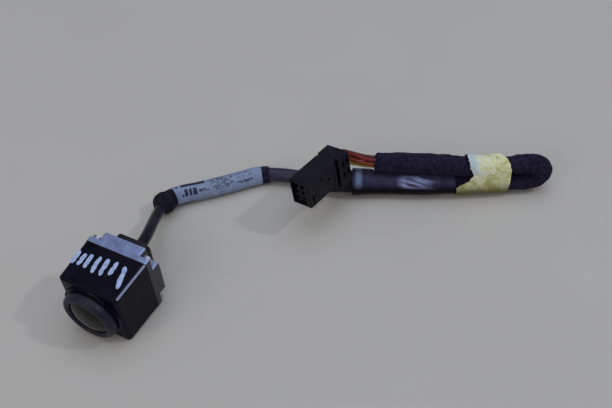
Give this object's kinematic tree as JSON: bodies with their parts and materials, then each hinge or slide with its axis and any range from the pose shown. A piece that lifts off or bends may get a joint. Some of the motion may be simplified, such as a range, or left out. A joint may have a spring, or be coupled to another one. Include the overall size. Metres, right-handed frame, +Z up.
{
  "type": "backup camera",
  "caption": "Small square vehicle camera head with a domed lens and a metal rear, on a short taped wiring pigtail that ends in a small wire plug.",
  "frame": {"origin": "middle of the camera head, on the surface that it stands on", "axes": "+Z up, -Y the way the lens looks, +X to the right of the head seen from the lens side; the harness lies behind the head"},
  "size_m": [0.1313, 0.1343, 0.0256],
  "materials": {
    "barrel_ring": "matt",
    "board_components": "matt",
    "board_screws": "plated",
    "board_spacers": "turned",
    "cable_grommet": "matt",
    "cable_label": "printed film",
    "cable_plate": "moulded",
    "camera_cable": "satin jacket",
    "case_screws": "plated",
    "felt_wrap": "fleece tape",
    "fifth_lens": "polished",
    "foam_padding": "foam",
    "fourth_lens": "polished",
    "front_housing": "fine moulded texture, black",
    "front_lens": "polished, coated",
    "front_spacer": "black anodised",
    "housing_gasket": "matt",
    "image_processor": "epoxy",
    "image_sensor": "matt",
    "infrared_filter": "coated",
    "inner_leads": "insulated wire",
    "lens_barrel": "black anodised",
    "lens_bezel": "satin black",
    "lens_retainer": "black anodised",
    "light_baffle": "foam",
    "link_plug": "moulded",
    "link_socket": "moulded",
    "masking_tape": "creped paper tape",
    "plate_screws": "blackened",
    "plug_cover": "moulded",
    "plug_housing": "moulded",
    "plug_latch": "moulded",
    "plug_terminals": "tinned",
    "pvc_sleeve": "soft PVC",
    "rear_board": "solder mask",
    "rear_housing": "die-cast, blasted",
    "rear_spacer": "black anodised",
    "second_lens": "polished",
    "sensor_board": "solder mask",
    "sensor_glass": "clear",
    "sleeve_boot": "rough",
    "tape_band": "cloth tape",
    "thermal_pad": "soft",
    "third_lens": "polished",
    "video_chip": "epoxy",
    "vinyl_wrap": "shiny vinyl tape",
    "wire_black": "insulated wire",
    "wire_brown": "insulated wire",
    "wire_green": "insulated wire",
    "wire_orange": "insulated wire",
    "wire_red": "insulated wire",
    "wire_seal": "soft",
    "wire_yellow": "insulated wire"
  },
  "bodies": {
    "camera": {"barrel_ring": "barrel_ring", "board_components": "board_components", "board_screws": "board_screws", "board_spacers": "board_spacers", "cable_grommet": "cable_grommet", "cable_label": "cable_label", "cable_plate": "cable_plate", "camera_cable": "camera_cable", "case_screws": "case_screws", "felt_wrap": "felt_wrap", "fifth_lens": "fifth_lens", "foam_padding": "foam_padding", "fourth_lens": "fourth_lens", "front_housing": "front_housing", "front_lens": "front_lens", "front_spacer": "front_spacer", "housing_gasket": "housing_gasket", "image_processor": "image_processor", "image_sensor": "image_sensor", "infrared_filter": "infrared_filter", "inner_leads": "inner_leads", "lens_barrel": "lens_barrel", "lens_bezel": "lens_bezel", "lens_retainer": "lens_retainer", "light_baffle": "light_baffle", "link_plug": "link_plug", "link_socket": "link_socket", "masking_tape": "masking_tape", "plate_screws": "plate_screws", "plug_housing": "plug_housing", "plug_terminals": "plug_terminals", "pvc_sleeve": "pvc_sleeve", "rear_board": "rear_board", "rear_housing": "rear_housing", "rear_spacer": "rear_spacer", "second_lens": "second_lens", "sensor_board": "sensor_board", "sensor_glass": "sensor_glass", "sleeve_boot": "sleeve_boot", "tape_band": "tape_band", "thermal_pad": "thermal_pad", "third_lens": "third_lens", "video_chip": "video_chip", "vinyl_wrap": "vinyl_wrap", "wire_black": "wire_black", "wire_brown": "wire_brown", "wire_green": "wire_green", "wire_orange": "wire_orange", "wire_red": "wire_red", "wire_seal": "wire_seal", "wire_yellow": "wire_yellow"},
    "cover": {"plug_cover": "plug_cover"},
    "latch": {"plug_latch": "plug_latch"}
  },
  "joints": [
    {"name": "cover_slide", "type": "slide", "parent": "camera", "child": "cover", "axis": [0.2076, 0.9768, -0.0523], "range_m": [0, 0.0015]},
    {"name": "latch_flex", "type": "hinge", "parent": "camera", "child": "latch", "pos_m": [0.04806, 0.07023, 0.01729], "axis": [0.1961, -0.094, -0.9761], "range_deg": [0, 3.2], "stiffness_Nm_per_rad": 0.1}
  ]
}
